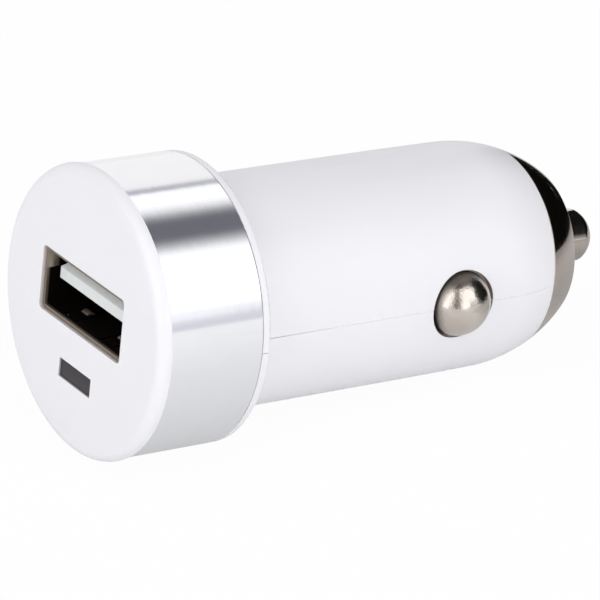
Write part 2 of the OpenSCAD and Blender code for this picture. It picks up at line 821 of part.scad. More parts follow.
module socket_shield() {
    finger_len = 6;
    finger_w = 2.2;
    slit = 0.35;
    bump_r = 0.5;
    bump_out = 0.25;
    bump_w = 1;
    bump_back = 1.9;
    finger_back = 0.6;
    side_finger_back = 3;
    finger_y = 3;
    roof = socket_z + socket_h / 2;
    x_finger = socket_recess + finger_back;
    x_bump = x_finger + bump_back;
    tail_cut = contact_pitch[3] + contact_w / 2 + 4 * seat_gap;
    color([0.72, 0.7, 0.66]) {
        difference() {
            bar(socket_recess, x_shield_end, socket_w, socket_h, socket_z, socket_round);
            bar(socket_recess - over, x_shield_end + over, socket_in_w, socket_in_h, socket_z,
                socket_round - sheet_t);
            for (y = [-finger_y, finger_y], z = [socket_floor + sheet_t / 2, roof - sheet_t / 2])
                translate([x_finger, y, z]) finger_cut(finger_len, finger_w, slit);
            for (side = [-1, 1])
                translate([socket_recess + side_finger_back, side * (socket_w - sheet_t) / 2, socket_z])
                    rotate([90, 0, 0]) finger_cut(finger_len, finger_w, slit);
            block([x_insulator + insulator_len / 2, -tail_cut, socket_floor - over],
                [x_shield_end + over, tail_cut, socket_z - socket_in_h / 2 + seat_gap]);
        }
        for (y = [-finger_y, finger_y])
            intersection() {
                union() {
                    translate([x_bump, y - bump_w / 2, socket_floor + sheet_t - bump_r + bump_out])
                        rotate([-90, 0, 0]) cylinder(bump_w, bump_r, bump_r, $fn = small_fn);
                    translate([x_bump, y - bump_w / 2, roof - sheet_t + bump_r - bump_out])
                        rotate([-90, 0, 0]) cylinder(bump_w, bump_r, bump_r, $fn = small_fn);
                }
                bar(0, x_shield_end, socket_w, socket_h - sheet_t, socket_z, socket_round);
            }
        for (x = tab_stations, side = [-1, 1])
            scale([1, side, 1])
                block([x - tab_len / 2, socket_in_w / 2, board_bottom - tab_out],
                    [x + tab_len / 2, socket_w / 2, socket_floor + socket_round + 2 * seat_gap]);
    }
}

// Insulator with the tongue: tapered tip, cut corners and a channel for each contact
module socket_tongue() {
    taper_h = 0.8;
    taper_len = 0.9;
    cut = 0.75;
    fit = seat_gap / 2;
    color([0.86, 0.89, 0.87])
        difference() {
            union() {
                intersection() {
                    plate(tongue_w, 0)
                        polygon([
                            [tongue_recess, tongue_z],
                            [tongue_recess, tongue_top - taper_h],
                            [tongue_recess + taper_len, tongue_top],
                            [x_insulator + over / 2, tongue_top],
                            [x_insulator + over / 2, tongue_z]]);
                    translate([0, 0, tongue_z]) rotate([90, 0, 90]) linear_extrude(x_shield_end)
                        polygon([
                            [-tongue_w / 2, 0],
                            [tongue_w / 2, 0],
                            [tongue_w / 2, tongue_t - cut],
                            [tongue_w / 2 - cut, tongue_t],
                            [cut - tongue_w / 2, tongue_t],
                            [-tongue_w / 2, tongue_t - cut]]);
                }
                bar(x_insulator, x_insulator + insulator_len, socket_in_w - 2 * fit,
                    socket_in_h - 2 * fit, socket_z, socket_round - sheet_t);
            }
            for (y = contact_pitch)
                block([x_insulator - over, y - contact_w / 2 - fit, tongue_z - strip_t - fit],
                    [x_shield_end, y + contact_w / 2 + fit, tongue_z]);
        }
}

// Contact under the tongue, with its leg down through the board
module socket_contact(y) {
    tip_back = 0.9;
    leg_out = 0.8;
    color([0.85, 0.7, 0.35]) {
        block([tongue_recess + tip_back, y - contact_w / 2, tongue_z - strip_t],
            [x_leg + strip_t, y + contact_w / 2, tongue_z]);
        block([x_leg, y - leg_w / 2, board_bottom - leg_out], [x_leg + strip_t, y + leg_w / 2, tongue_z]);
    }
}

module socket_contact_1() {
    socket_contact(contact_pitch[0]);
}

module socket_contact_2() {
    socket_contact(contact_pitch[1]);
}

module socket_contact_3() {
    socket_contact(contact_pitch[2]);
}

module socket_contact_4() {
    socket_contact(contact_pitch[3]);
}

module indicator_lamp() {
    color([0.3, 0.28, 0.29])
        bar(lamp_recess, lamp_recess + lamp_len, lamp_w, lamp_h, -lamp_drop, lamp_gap);
}

// Two bent wires from the back of the lamp to pads under the board
module indicator_leads() {
    r = lead_d / 2;
    pad_z = board_bottom - r;
    color([0.75, 0.75, 0.74])
        for (y = [-lead_y, lead_y]) {
            wire([lamp_recess + lamp_len, y, -lamp_drop], [x_lead_bend, y, -lamp_drop], r);
            translate([x_lead_bend, y, -lamp_drop]) sphere(r, $fn = small_fn);
            wire([x_lead_bend, y, -lamp_drop], [x_lead_bend, y, pad_z], r);
            translate([x_lead_bend, y, pad_z]) sphere(r, $fn = small_fn);
            wire([x_lead_bend, y, pad_z], [x_lead_bend + lead_foot, y, pad_z], r);
        }
}

// Electrolytic can on the board: plastic base, waisted can and scored top
module can_capacitor(place, d, h) {
    base_t = 0.5;
    waist = 0.2;
    waist_low = 0.7;
    waist_high = 1.3;
    score = 0.2;
    r = d / 2;
    translate([place[0], place[1], board_top])
        difference() {
            union() {
                translate([-r, -r, 0]) cube([d, d, base_t]);
                rotate_extrude($fn = round_fn / 2) {
                    band(0, r - waist, 0, h);
                    band(0, r, base_t, base_t + waist_low);
                    band(0, r, base_t + waist_high, h - waist);
                }
            }
            for (a = [0, 90])
                rotate([0, 0, a]) translate([-r / 2, -score / 2, h - score]) cube([r, score, over]);
        }
}

module input_capacitor() {
    color([0.75, 0.76, 0.78]) can_capacitor(input_cap_at, input_cap_d, input_cap_h);
}

module output_capacitor() {
    color([0.75, 0.76, 0.78]) can_capacitor(output_cap_at, output_cap_d, output_cap_h);
}

// Drum core of the choke under the board: two flanges on a post
module choke_core() {
    color([0.25, 0.25, 0.27])
        translate([choke_at[0], choke_at[1], board_bottom - choke_h])
            rotate_extrude($fn = round_fn / 2) {
                band(0, choke_d / 2, 0, choke_flange);
                band(0, choke_d / 4, 0, choke_h);
                band(0, choke_d / 2, choke_h - choke_flange, choke_h);
            }
}

// Winding of the choke, with the ribs of its turns
module choke_winding() {
    fit = seat_gap / 2;
    turns = 7;
    inner = choke_d / 4 + fit;
    turns_back = 0.45;
    outer = choke_d / 2 - turns_back;
    tall = choke_h - 2 * (choke_flange + fit);
    turn_t = tall / turns;
    color([0.72, 0.4, 0.2])
        translate([choke_at[0], choke_at[1], board_bottom - choke_h + choke_flange + fit])
            rotate_extrude($fn = round_fn / 2) {
                band(inner, outer, 0, tall);
                for (i = [0:turns - 1])
                    translate([outer, (i + 0.5) * turn_t]) circle(turn_t / 2, $fn = small_fn / 2);
            }
}

// Converter chip with four bent legs on each side
module converter_chip() {
    stand_off = 0.1;
    leg = [0.4, 1, 0.2];
    shoulder = [0.4, 0.4, 0.8];
    pitch = 1.27;
    size = converter_size;
    color([0.12, 0.12, 0.13])
        translate([converter_at[0], converter_at[1], board_top]) {
            translate([-size[0] / 2, -size[1] / 2, stand_off]) cube(size);
            for (i = [-1.5:1.5], side = [-1, 1])
                scale([1, side, 1])
                    translate([i * pitch - leg[0] / 2, size[1] / 2 - stand_off, 0]) {
                        cube(leg);
                        cube(shoulder);
                    }
        }
}

module rectifier_diode() {
    stand_off = 0.05;
    size = diode_size;
    foot = diode_foot;
    color([0.14, 0.14, 0.15])
        translate([diode_at[0], diode_at[1], board_top]) {
            translate([-size[0] / 2, -size[1] / 2, stand_off]) cube(size);
            for (side = [-1, 1])
                translate([side * size[0] / 2 - foot[0] / 2, -foot[1] / 2, 0]) cube(foot);
        }
}

// Surface-mounted chip with a metal cap at each end, standing on the board (1) or under it (-1)
module chip(place, size, up) {
    cap = size[0] / 5;
    proud = 0.03;
    floor_z = up > 0 ? board_top : board_bottom - size[2];
    translate([place[0], place[1], floor_z]) {
        translate([-size[0] / 2, -size[1] / 2, proud]) cube([size[0], size[1], size[2] - 2 * proud]);
        for (side = [-1, 1])
            translate([side * (size[0] - cap) / 2 - cap / 2, -size[1] / 2, 0]) cube([cap, size[1], size[2]]);
    }
}

module input_fuse() {
    color([0.85, 0.85, 0.83]) chip(fuse_at, fuse_size, -1);
}

module chip_resistors() {
    color([0.16, 0.16, 0.18])
        for (spot = resistor_spots)
            chip([spot[0], spot[1]], resistor_size, spot[2]);
}

lying() face_cap();
lying() trim_ring();
lying() upper_housing();
lying() lower_housing();
lying() nose_ring();
lying() center_pin();
lying() pin_spring();
lying() positive_strip();
lying() left_contact();
lying() right_contact();
lying() left_spring();
lying() right_spring();
lying() ground_strip();
lying() circuit_board();
lying() socket_shield();
lying() socket_tongue();
lying() socket_contact_1();
lying() socket_contact_2();
lying() socket_contact_3();
lying() socket_contact_4();
lying() indicator_lamp();
lying() indicator_leads();
lying() input_capacitor();
lying() output_capacitor();
lying() choke_core();
lying() choke_winding();
lying() converter_chip();
lying() rectifier_diode();
lying() input_fuse();
lying() chip_resistors();
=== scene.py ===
# %% [markdown]
# # A car charger plug, dressed for its picture
# The solid model of the plug comes in as a frame that never moves: each of its pieces keeps its place and
# its size. This script gives every piece its finish, makes the turned metal pieces and the moulded
# edges finer than the solids are, and sets up the table, the lights and the camera.
# Everything is in metres, lying as the plug lies on a table.

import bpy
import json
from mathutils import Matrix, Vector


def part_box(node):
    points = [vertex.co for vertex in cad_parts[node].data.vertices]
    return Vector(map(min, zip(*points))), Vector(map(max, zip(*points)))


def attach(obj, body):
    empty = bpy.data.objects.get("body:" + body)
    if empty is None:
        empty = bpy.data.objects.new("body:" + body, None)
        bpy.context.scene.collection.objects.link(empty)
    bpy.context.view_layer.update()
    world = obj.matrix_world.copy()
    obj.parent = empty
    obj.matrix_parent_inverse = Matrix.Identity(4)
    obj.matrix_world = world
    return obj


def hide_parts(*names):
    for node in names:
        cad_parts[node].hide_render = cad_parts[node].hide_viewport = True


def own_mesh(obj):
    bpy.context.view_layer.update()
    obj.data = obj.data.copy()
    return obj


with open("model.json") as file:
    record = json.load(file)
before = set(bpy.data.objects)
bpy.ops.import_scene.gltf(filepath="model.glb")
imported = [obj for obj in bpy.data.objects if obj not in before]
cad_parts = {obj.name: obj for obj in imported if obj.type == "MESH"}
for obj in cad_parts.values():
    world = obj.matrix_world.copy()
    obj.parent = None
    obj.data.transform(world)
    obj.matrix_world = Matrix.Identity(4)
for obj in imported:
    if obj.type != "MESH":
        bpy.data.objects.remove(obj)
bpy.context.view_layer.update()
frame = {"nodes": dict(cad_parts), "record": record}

import json
import math

import bpy
import bmesh
import numpy as np
from mathutils import Vector

nodes = frame["nodes"]
bodies = frame["record"]["behaviour"]["bodies"]
body_of_node = {name: body for body, names in bodies.items() for name in names}

# %% [markdown]
# ## The plug's own axis
# A turned piece is round about the plug's axis, and that axis slopes down towards the centre pin, because
# the plug lies on its flange and its tail. The record says where the straight barrel is and which way it
# points, so the axis is read from there: then a piece is drawn in plain millimetres along the axis, and one
# matrix product lays it down. A station is a distance along the axis, in millimetres behind the face.

# %% From the plug's axis to the table
STATION_OF_FLANGE_BACK = 11.15
STUD_STATION = 33.3
TAIL_RADIUS = 10.29
seat = next(m for m in frame["record"]["mounts"] if m["name"] == "barrel_seat")
along = np.array(seat["axis"])
side = np.array([0.0, 1.0, 0.0])
upward = np.cross(along, side)
seat_middle = STATION_OF_FLANGE_BACK + seat["dims"]["length_mm"] / 2
face_centre = np.array(seat["pos_m"]) - along * seat_middle / 1000
droop = math.atan2(-along[2], along[0])


def lay(points):
    """Millimetres along, beside and above the plug's axis, to metres on the table:
    the face's centre, plus each number times its own direction."""
    return face_centre + np.asarray(points, float) / 1000 @ np.array([along, side, upward])


print("axis slopes down by", round(math.degrees(droop), 3), "degrees")

# %% [markdown]
# ## The camera
# The photograph looks down at the plug from its front left, from far away through a long lens, so the round
# face stays almost an ellipse. The place and turn were found by matching the outline of the head, the
# flange, the side contact and the pin, and only then written down here.

# %% Camera
camera_data = bpy.data.cameras.new("camera")
camera_data.sensor_width = 36
camera_data.lens = 266.99
camera_data.clip_start = 0.01
camera_data.clip_end = 20
camera = bpy.data.objects.new("camera", camera_data)
camera.location = (-0.204258, -0.294210, 0.180516)
camera.rotation_euler = [math.radians(a) for a in (64.3408, -1.5915, -33.4982)]
bpy.context.scene.collection.objects.link(camera)
bpy.context.scene.camera = camera
bpy.context.scene.view_settings.view_transform = "Standard"
print("camera is", round(camera.location.length, 3), "m from the plug")

# %% [markdown]
# ## Writing finishes as sums
# A finish is a small net of nodes. Wiring it by hand takes a line for every node and every link, and hides
# the idea. A wrapper round a socket that knows plus, minus, times, power and the absolute value lets a
# finish be written as the sum that it is, and adds the Math nodes behind it.

# %% Socket wrapper
class Wire:
    """A node's output. Arithmetic on it makes Math nodes; numbers may stand on either side."""

    def __init__(self, net, socket):
        self.net = net
        self.socket = socket

    def _math(self, operation, first, second=None):
        values = {0: first} if second is None else {0: first, 1: second}
        return self.net.node("Math", {"operation": operation}, values)

    def __add__(self, other):
        return self._math("ADD", self, other)

    def __sub__(self, other):
        return self._math("SUBTRACT", self, other)

    def __rsub__(self, other):
        return self._math("SUBTRACT", other, self)

    def __mul__(self, other):
        return self._math("MULTIPLY", self, other)

    def __truediv__(self, other):
        return self._math("DIVIDE", self, other)

    def __pow__(self, other):
        return self._math("POWER", self, other)

    def __abs__(self):
        return self._math("ABSOLUTE", self)

    def above(self, edge, softness):
        """0 below edge - softness, 1 above edge + softness, straight between: a clamped ramp."""
        low, high = edge - softness, edge + softness
        return self.net.node("MapRange", {"clamp": True}, {"Value": self, "From Min": low, "From Max": high})

    __radd__ = __add__
    __rmul__ = __mul__


class Net:
    """The node tree of a material or of the world, with one way to add any node."""

    def __init__(self, owner):
        owner.use_nodes = True
        self.tree = owner.node_tree
        self.tree.nodes.clear()

    def node(self, kind, settings=None, values=None, out=0):
        """Adds a node. Settings come first, a ramp's stops among them; then each named input gets a number,
        a colour or a link. Gives the wanted output."""
        made = self.tree.nodes.new("ShaderNode" + kind)
        for key, value in (settings or {}).items():
            if key == "stops":
                for stop, (place, colour) in zip(made.color_ramp.elements, value):
                    stop.position, stop.color = place, (*colour, 1)
            else:
                setattr(made, key, value)
        for key, value in (values or {}).items():
            if isinstance(value, Wire):
                self.tree.links.new(value.socket, made.inputs[key])
            else:
                made.inputs[key].default_value = value
        return Wire(self, made.outputs[out]) if len(made.outputs) else made


# %% [markdown]
# ## What all finishes share
# Most finishes here are one shader with a little noise: no real surface is one flat number. Patterns read
# the object's own coordinates in metres, turned so that X runs along the plug, and so they stay put
# when the camera or a piece moves. A noise scale of 1000 has features of about a millimetre.

# %% Finish helpers
class Finish(Net):
    """A material: object coordinates along the plug's axis, noise on them, and one shader at the end."""

    def __init__(self, name):
        self.material = bpy.data.materials.new(name)
        super().__init__(self.material)
        place = self.node("TexCoord", out="Object")
        self.place = self.node("Mapping", {"vector_type": "POINT"},
                               {"Vector": place, "Rotation": (0, -droop, 0)})

    def noise(self, scale, stretch=(1, 1, 1), detail=2.0, roughness=0.5):
        """Noise with about scale features to the metre, drawn out by stretch along, beside and above."""
        sized = self.node("Mapping", {"vector_type": "POINT"}, {"Vector": self.place, "Scale": stretch})
        return self.node("TexNoise", None, {"Vector": sized, "Scale": scale, "Detail": detail,
                                            "Roughness": roughness})

    def blend(self, amount, first, second):
        """Colour between first and second."""
        return self.node("Mix", {"data_type": "RGBA"}, {0: amount, 6: first, 7: second}, out=2)

    def bump(self, height, distance, strength=1.0, under=None):
        """Bump of a height from 0 to 1 over a distance in metres, on top of another bump if there is one."""
        values = {"Height": height, "Distance": distance, "Strength": strength}
        return self.node("Bump", None, values if under is None else {**values, "Normal": under})

    def close(self, **values):
        """Ends the net in the one shader. Names of inputs are written with _ for a space."""
        shader = self.node("BsdfPrincipled", None, {k.replace("_", " "): v for k, v in values.items()})
        self.node("OutputMaterial", None, {"Surface": shader})
        return self.material


def rgb(red, green, blue):
    return (red, green, blue, 1.0)


finishes = {}

# %% [markdown]
# ## White moulded plastic
# The cap and the two halves of the barrel are moulded in a white, faintly cool plastic with a satin skin.
# Up close the skin carries the fine grain of the mould, and its gloss wanders a little where the plastic
# cooled unevenly. A grain of a tenth of a millimetre goes to the bump, and slow patches go to the
# colour and the roughness. The barrel is a shade duller than the cap.
#
# A few places differ from the rest, and are painted with light: painted shade on the walls of the two
# windows in the face and of the bores for the side contacts, and a painted glow on the parting line. They
# are found by their distances from the face and from the axis, so that no picture has to be painted and
# laid on the part.

# %% Distances on the plug
SOCKET_HEIGHT = 0.00093
SOCKET_WINDOW = (0.0067, 0.0030)
LAMP_HEIGHT = -0.006
LAMP_WINDOW = (0.00263, 0.00093)


def from_face(finish, height):
    """In metres: how far behind the face, how far sideways from the axis, how far up or down from a height,
    and that last one with its sign."""
    split = finish.node("SeparateXYZ", None, {"Vector": finish.place}).socket.node
    behind, across, up = (Wire(finish, socket) for socket in split.outputs)
    rise = up - float(face_centre @ upward) - height
    return behind - float(face_centre @ along), abs(across), abs(rise), rise


print("socket's middle is", SOCKET_HEIGHT * 1000, "mm above the axis, the lamp's", LAMP_HEIGHT * 1000)


# %% Walls and parting line
BORE_LIP = 0.00327
SEAM_HALF = 0.000045


def window_wall(finish, height, half_wide, half_high):
    """1 on the walls of a window through the cap, and 0 on its face: a product of three ramps."""
    behind, across, apart, _ = from_face(finish, height)
    inside = (1 - across.above(half_wide, 0.00002)) * (1 - apart.above(half_high, 0.00002))
    return inside * behind.above(0.00013, 0.00013)


def bore_wall(finish):
    """1 on the walls of the two bores in the barrel's sides, and 0 on its skin: closer to the bore's axis
    than the lip's radius, and closer to the plug's axis than the skin. Both are roots of sums of squares.
    The second value is 1 on the low front part of the walls, which lies in the deepest shade: there the
    direction from the bore's axis, times a direction forwards and down, is close to 1."""
    behind, across, _, rise = from_face(finish, 0.0)
    back = behind - STUD_STATION / 1000
    from_bore = (back * back + rise * rise) ** 0.5
    from_axis = (across * across + rise * rise) ** 0.5
    wall = (1 - from_bore.above(BORE_LIP, 0.00002)) * (1 - from_axis.above(TAIL_RADIUS / 1000, 0.00003))
    return wall, ((back * -0.76 - rise * 0.65) / from_bore).above(0.86, 0.10)


def parting(finish):
    """1 on the two faces of the parting line between the halves, from a little behind the flange on. The pale
    line there is painted light: those faces glow faintly."""
    behind, _, apart, _ = from_face(finish, 0.0)
    return (1 - apart.above(SEAM_HALF, 0.00001)) * behind.above(0.0165, 0.0035)


print("walls: bore lip", BORE_LIP * 1000, "mm from the bore's axis")


# %% White plastics
def moulded_white(name, tint, shade, gloss, windows=()):
    """Two close whites by slow noise; roughness from patches; bump from the mould's grain. The walls of a
    window get painted shade, and the walls of a bore a painted brown shade that the contact mirrors; the
    parting line gets a painted glow."""
    finish = Finish(name)
    patches = finish.noise(160, detail=3)
    grain = finish.noise(6500, detail=2)
    cloud = finish.noise(900, detail=3)
    colour = finish.blend(patches.above(0.5, 0.25), rgb(*tint), rgb(*shade))
    # Painted shade on the walls of each window, warm beside the socket's tin.
    for height, half_wide, half_high, painted_wall_shade in windows:
        colour = finish.blend(window_wall(finish, height, half_wide, half_high), colour, rgb(*painted_wall_shade))
    # Painted shade on the walls of the bores, darkest low at the front, for the side contacts to mirror.
    if not windows:
        wall, low_front = bore_wall(finish)
        painted_bore_shade = finish.blend(low_front, rgb(0.42, 0.35, 0.31), rgb(0.05, 0.035, 0.03))
        colour = finish.blend(wall, colour, painted_bore_shade)
    rough = gloss + (cloud - 0.5) * 0.12 + (grain - 0.5) * 0.06
    # Painted glow: the parting line's faces give off a faint pale light.
    painted_seam_glow = finish.blend(parting(finish), rgb(0, 0, 0), rgb(0.11, 0.107, 0.11))
    return finish.close(Base_Color=colour, Roughness=rough, IOR=1.48,
                        Emission_Color=painted_seam_glow, Emission_Strength=1.0,
                        Normal=finish.bump(grain + cloud * 2, 0.000004, 0.5))


# Each window's last colour is the painted shade on its walls.
finishes["cap_white"] = moulded_white("cap_white", (0.850, 0.845, 0.880), (0.838, 0.833, 0.868), 0.34,
                                      ((SOCKET_HEIGHT, *SOCKET_WINDOW, (0.62, 0.55, 0.51)),
                                       (LAMP_HEIGHT, *LAMP_WINDOW, (0.20, 0.115, 0.13))))
finishes["housing_white"] = moulded_white("housing_white", (0.855, 0.850, 0.880), (0.840, 0.835, 0.866),
                                          0.36)
print("whites:", [m.name for m in finishes.values()])

# %% [markdown]
# ## Metals
# The ring round the head is aluminium tube, turned and polished: fine lines run round it, and slow
# waves in the polish make the edges of its reflections wander. The nose, the pin and the side contacts
# are nickel plated, a warmer and darker metal; the domed side contacts were tumbled, so they are slightly
# pitted. The socket's sheet is tinned and duller.
#
# Two of them need a shade, because a render of a few bounces leaves too much light in a narrow place:
# the inside of the socket, and the foot of the side contacts in their bores.

# %% Shades in the socket and round the contacts
SHEET_FRONT = 0.00034
SHEET_HALF = (0.0065, 0.00284)
FINGER_HALF = 0.0045
FINGER_BUMP = (0.0022, 0.0025)
DOME_FOOT = 0.00273


def socket_inside(finish):
    """Painted shade: 1 on the inner walls of the socket from about half a millimetre in, where no light
    reaches:
    a product of three ramps, on the distance from the face, from the socket's middle sideways, and upwards.
    The upper corners see the light a little further in. The bumps of the spring fingers stand out into the
    light, so they are mostly left out, and the front edge gets a little painted shade too."""
    behind, across, apart, rise = from_face(finish, SOCKET_HEIGHT)
    walls = (1 - across.above(SHEET_HALF[0], 0.00003)) * (1 - apart.above(SHEET_HALF[1], 0.00001))
    proud = apart.above(FINGER_BUMP[0], 0.00005) * (1 - apart.above(FINGER_BUMP[1], 0.00002))
    bumps = (1 - across.above(FINGER_HALF, 0.0003)) * proud
    lit = across.above(0.0060, 0.0001) * rise.above(0.00085, 0.00004) * 0.0009
    front_edge_shade = 1 - behind.above(SHEET_FRONT, 0.00003)
    return (behind - lit).above(0.00045, 0.00018) * walls * (1 - bumps * 0.6) + front_edge_shade * 0.3


def contact_foot(finish):
    """Up to 0.7 round the foot of the side contacts' domes, which their bores keep in the shade: a ramp on
    the distance from the contact's axis, left out low down, and on the side of the pin up to the middle."""
    behind, _, _, rise = from_face(finish, 0.0)
    back = behind - STUD_STATION / 1000
    from_bore = (back * back + rise * rise) ** 0.5
    tip_side = back.above(0.0, 0.001)
    high = tip_side * rise.above(0.0004, 0.0008) + (1 - tip_side) * rise.above(-0.0020, 0.0010)
    return from_bore.above(DOME_FOOT, 0.00018) * high * 0.7


print("shades: sheet from", SHEET_FRONT * 1000, "mm, dome's foot from", DOME_FOOT * 1000, "mm")

# %% Metal finishes
def metal(name, light, dark, rough, wander, lines, line_stretch, dents, dent_stretch, dent_depth,
          shade=None, line_depth=0.0000006):
    """Metal whose roughness wanders. Its bump is tool lines plus shallow dents; depths are in metres. A
    painted shade, from 0 to 1, darkens its colour and roughens it."""
    finish = Finish(name)
    smudge = finish.noise(420, detail=3)
    line = finish.noise(lines, line_stretch, detail=1)
    dent = finish.noise(dents, dent_stretch, detail=2)
    colour = finish.blend(smudge.above(0.5, 0.3), rgb(*light), rgb(*dark))
    roughness = rough + (smudge - 0.5) * wander + (line - 0.5) * wander
    if shade is not None:
        # Painted shade: the colour turns towards near black where the shade is 1.
        depth = shade(finish)
        colour = finish.blend(depth, colour, rgb(0.010, 0.007, 0.006))
        roughness = roughness + depth * 0.4
    lined = finish.bump(line, line_depth)
    return finish.close(Base_Color=colour, Metallic=1.0, Roughness=roughness,
                        Normal=finish.bump(dent, dent_depth, 1.0, lined))


plastics = len(finishes)
for name, *values in (
        ("ring_aluminium", (0.912, 0.918, 0.945), (0.89, 0.896, 0.924), 0.115, 0.05,
         9000, (1, 0.02, 0.02), 700, (2.2, 0.5, 0.5), 0.000006),
        ("nickel_plate", (0.66, 0.595, 0.54), (0.60, 0.535, 0.48), 0.09, 0.06,
         5000, (1, 0.1, 0.1), 900, (1, 1, 1), 0.000003),
        ("nickel_tumbled", (0.68, 0.625, 0.575), (0.56, 0.50, 0.45), 0.19, 0.16,
         5500, (1, 1, 1), 2200, (1, 1, 1), 0.000010, contact_foot, 0.000014),
        ("spring_wire", (0.72, 0.72, 0.72), (0.55, 0.55, 0.56), 0.24, 0.15,
         7000, (0.1, 1, 1), 900, (1, 1, 1), 0.000004),
        ("strip_brass", (0.83, 0.74, 0.52), (0.70, 0.60, 0.40), 0.30, 0.15,
         6000, (0.05, 1, 1), 600, (1, 1, 1), 0.000006),
        ("shield_tin", (0.54, 0.465, 0.39), (0.45, 0.385, 0.32), 0.40, 0.12,
         5000, (0.05, 1, 1), 400, (1, 1, 1), 0.000005, socket_inside),
        ("contact_gold", (0.86, 0.70, 0.38), (0.78, 0.60, 0.28), 0.20, 0.10,
         6000, (0.05, 1, 1), 600, (1, 1, 1), 0.000004),
        ("can_aluminium", (0.80, 0.81, 0.83), (0.70, 0.71, 0.73), 0.28, 0.14,
         7000, (1, 1, 0.05), 500, (1, 1, 1), 0.000006),
        ("winding_copper", (0.75, 0.36, 0.17), (0.60, 0.26, 0.10), 0.22, 0.12,
         6000, (1, 1, 0.1), 700, (1, 1, 1), 0.000006)):
    finishes[name] = metal(name, *values)
print("metals:", list(finishes)[plastics:])

# %% [markdown]
# ## The small parts
# Inside are a green board, a grey ferrite core, black moulded chips and a pale ceramic fuse; in
# the socket a pale green-white insulator; in its own window a smoked lamp. They differ in colour, in gloss
# and in the size of their grain, so one function serves all of them but the board, which has its own.

# %% Small finishes
def grained(name, light, dark, scale, rough, depth, shaded_top=None):
    """Colour between light and dark by grain, with roughness and bump from the same grain. On the lamp, a
    painted shade turns its colour towards the shaded top's over its height."""
    finish = Finish(name)
    grain = finish.noise(scale, detail=3, roughness=0.6)
    fine = finish.noise(scale * 4, detail=1)
    colour = finish.blend(grain.above(0.5, 0.2), rgb(*dark), rgb(*light))
    if shaded_top is not None:
        rise = from_face(finish, LAMP_HEIGHT)[3]
        colour = finish.blend(rise.above(0.0001, 0.0007), colour, rgb(*shaded_top))
    return finish.close(Base_Color=colour, Roughness=rough + (fine - 0.5) * 0.15,
                        Normal=finish.bump(grain + fine * 0.4, depth, 0.6))


for name, *values in (
        ("tongue_plastic", (0.78, 0.805, 0.80), (0.74, 0.765, 0.76), 1800, 0.45, 4e-6),
        ("chip_black", (0.035, 0.035, 0.038), (0.020, 0.020, 0.022), 5000, 0.55, 6e-6),
        ("choke_ferrite", (0.11, 0.11, 0.115), (0.07, 0.07, 0.075), 3500, 0.60, 8e-6),
        ("fuse_ceramic", (0.82, 0.82, 0.78), (0.74, 0.74, 0.70), 3000, 0.50, 4e-6)):
    finishes[name] = grained(name, *values)
# The last colour is the painted shade at the lamp's top.
finishes["lamp_plastic"] = grained("lamp_plastic", (0.030, 0.021, 0.024), (0.020, 0.014, 0.017), 900,
                                   0.34, 2e-6, shaded_top=(0.007, 0.006, 0.010))
print("finishes so far:", len(finishes))

# %% [markdown]
# The board is glass cloth under a green lacquer, and copper tracks show through as paler, slightly raised
# green. Straight tracks are square-edged stripes: a wave along one direction, cut to a band, and
# broken into runs by blocks of slow noise.

# %% Board finish
def board():
    """Green by tracks, 1 on them and 0 beside: a band of a wave across the board, times blocks of noise."""
    finish = Finish("board_laminate")
    cloth = finish.noise(4200, detail=1)
    stripes = finish.node("TexWave", {"wave_type": "BANDS", "bands_direction": "Y", "wave_profile": "TRI"},
                          {"Vector": finish.place, "Scale": 160.0, "Distortion": 0.0})
    runs = finish.noise(150, (0.5, 1, 1), detail=0)
    track = stripes.above(0.62, 0.03) * runs.above(0.5, 0.02)
    colour = finish.blend(track, rgb(0.020, 0.135, 0.055), rgb(0.045, 0.240, 0.095))
    return finish.close(Base_Color=colour, Roughness=0.32 + (cloth - 0.5) * 0.1,
                        Normal=finish.bump(track + cloth * 0.15, 0.00003, 0.6), Coat_Weight=0.3)


finishes["board_laminate"] = board()
slots = {s["node"]: s["material_slot"] for s in frame["record"]["subparts"]}
for name, node in nodes.items():
    node.data.materials.clear()
    node.data.materials.append(finishes[slots[name]])
print(len(nodes), "nodes carry", len(set(slots.values())), "finishes")

# %% [markdown]
# ## Turned pieces
# The ring, the nose, the pin and the side contacts are round, and their polish shows every facet and
# every hard edge. A lathe makes them by moving a tool along a profile while the work turns, and the same
# works here: a profile of distance along the axis and radius, and an angle, are the two parameters of
# the surface. Real edges are never sharp, so each corner of the profile is first rounded by an arc.

# %% Rounding a profile
def rounded(corners, radii, steps=6):
    """Rounds each corner of a closed outline with an arc. With unit vectors from the corner to its
    neighbours, the arc's centre lies on their middle line, radius over the sine of the half angle away, and
    the arc swings from one foot of the centre to the other as a blend of the two by sines of its angle. One
    more point a little before and after each arc keeps the flat between two arcs flat to the light."""
    corners = np.asarray(corners, float)
    radii = np.asarray(radii, float)[:, None]
    before = np.roll(corners, 1, 0) - corners
    after = np.roll(corners, -1, 0) - corners
    before /= np.linalg.norm(before, axis=1, keepdims=True)
    after /= np.linalg.norm(after, axis=1, keepdims=True)
    half = np.arccos(np.clip((before * after).sum(1, keepdims=True), -1, 1)) / 2
    middle = before + after
    middle /= np.maximum(np.linalg.norm(middle, axis=1, keepdims=True), 1e-9)
    centre = corners + middle * radii / np.sin(half)
    foot_a = corners + before * radii / np.tan(half) - centre
    foot_b = corners + after * radii / np.tan(half) - centre
    swing = np.pi - 2 * half
    t = np.linspace(0, 1, steps)[None, :, None]
    swing = np.maximum(swing, 1e-6)[:, None, :]
    arc = np.sin((1 - t) * swing) * foot_a[:, None] + np.sin(t * swing) * foot_b[:, None]
    arc = arc / np.sin(swing)
    spare = np.minimum(radii, 0.02)
    arc = np.concatenate([(foot_a + before * spare)[:, None], arc, (foot_b + after * spare)[:, None]], 1)
    return (centre[:, None] + arc).reshape(-1, 2)


square = rounded([(0, 0), (1, 0), (1, 1), (0, 1)], [0.1] * 4)
print("a rounded square has", len(square), "points, the first at", square[0].round(3))


